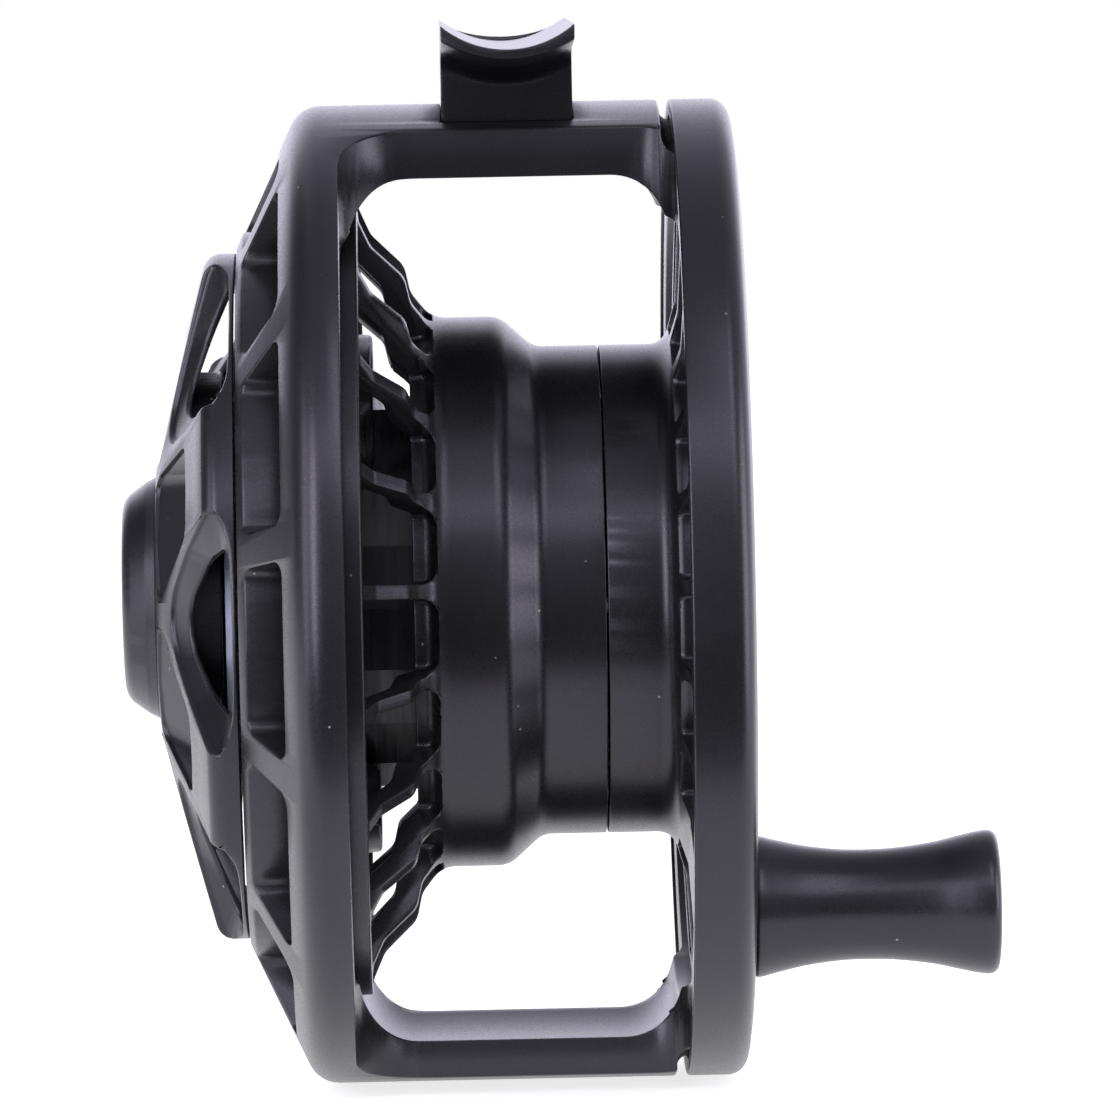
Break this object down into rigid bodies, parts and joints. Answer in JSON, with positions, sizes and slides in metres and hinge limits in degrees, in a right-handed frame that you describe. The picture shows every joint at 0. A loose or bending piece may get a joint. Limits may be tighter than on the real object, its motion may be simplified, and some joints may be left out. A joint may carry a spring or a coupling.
{
  "type": "fly fishing reel",
  "caption": "Large-arbor fly fishing reel: ported one-piece cage and spool, disc drag with rear knob, concave rod foot and a waisted handle.",
  "frame": {"origin": "middle of the foot's concave rod seat, at the lowest line of the seat", "axes": "+X along the spool axis towards the handle, +Z from the spool up through the foot, +Y along the rod seat"},
  "size_m": [0.0896, 0.102, 0.1105],
  "materials": {
    "black_anodised": "satin black anodised, bead blasted",
    "inner_anodised": "brushed dark anodised",
    "stainless": "turned",
    "bronze": "turned bronze",
    "carbon": "woven carbon friction disc",
    "seal_rubber": "matt",
    "acetal": "machined",
    "tungsten": "sintered grey"
  },
  "bodies": {
    "frame": {"frame": "black_anodised", "reel_foot": "black_anodised", "foot_screw_near": "stainless", "foot_screw_far": "stainless", "drag_housing": "inner_anodised", "housing_cover": "inner_anodised", "shaft_seal": "seal_rubber", "spindle": "stainless", "detent_plunger": "acetal", "detent_spring": "stainless", "housing_screw_1": "stainless", "housing_screw_2": "stainless", "housing_screw_3": "stainless", "drag_plate_1": "stainless", "drag_plate_2": "stainless", "drag_plate_3": "stainless"},
    "drag_knob": {"drag_knob": "black_anodised", "knob_cap": "black_anodised", "adjusting_nut": "bronze", "click_plate": "stainless"},
    "pressure_train": {"thrust_plate": "bronze", "push_pin_1": "stainless", "push_pin_2": "stainless", "push_pin_3": "stainless", "pressure_ring": "stainless", "spring_washer_1": "stainless", "spring_washer_2": "stainless"},
    "drag_rotor": {"rotor_sleeve": "stainless", "friction_disc_1": "carbon", "friction_disc_2": "carbon", "friction_disc_3": "carbon"},
    "drive_hub": {"drive_hub": "stainless", "roller_clutch": "stainless", "bearing_rear": "stainless", "bearing_front": "stainless"},
    "spool": {"spool_rear": "black_anodised", "spool_arbor": "black_anodised", "spool_front": "black_anodised", "counterweight": "tungsten", "handle_post": "stainless", "handle_screw": "black_anodised", "latch_ring": "stainless", "release_spring": "stainless", "spool_screw_1": "stainless", "spool_screw_2": "stainless", "spool_screw_3": "stainless", "spool_screw_4": "stainless", "spool_screw_5": "stainless"},
    "handle": {"handle_grip": "black_anodised", "handle_bushing_rear": "acetal", "handle_bushing_front": "acetal"},
    "release_button": {"release_button": "black_anodised"}
  },
  "joints": [
    {"name": "drag_knob_turn", "type": "hinge", "parent": "frame", "child": "drag_knob", "pos_m": [-0.033, 0, -0.057], "axis": [1, 0, 0], "range_deg": [0, 340]},
    {"name": "pressure_slide", "type": "slide", "parent": "frame", "child": "pressure_train", "axis": [1, 0, 0], "range_m": [0, 0.00071]},
    {"name": "drag_rotor_spin", "type": "hinge", "parent": "frame", "child": "drag_rotor", "pos_m": [-0.007, 0, -0.057], "axis": [1, 0, 0], "continuous": true},
    {"name": "clutch_spin", "type": "hinge", "parent": "drag_rotor", "child": "drive_hub", "pos_m": [0, 0, -0.057], "axis": [1, 0, 0], "continuous": true},
    {"name": "spool_take_off", "type": "slide", "parent": "drive_hub", "child": "spool", "axis": [1, 0, 0], "range_m": [0, 0.055]},
    {"name": "handle_spin", "type": "hinge", "parent": "spool", "child": "handle", "pos_m": [0.036, -0.01939, -0.08851], "axis": [1, 0, 0], "continuous": true},
    {"name": "release_press", "type": "slide", "parent": "spool", "child": "release_button", "axis": [-1, 0, 0], "range_m": [0, 0.0015], "stiffness_N_per_m": 400, "springref_m": -0.001}
  ],
  "couplings": [
    {"joint": "pressure_slide", "follows": "drag_knob_turn", "m_per_rad": 0.00011796}
  ]
}
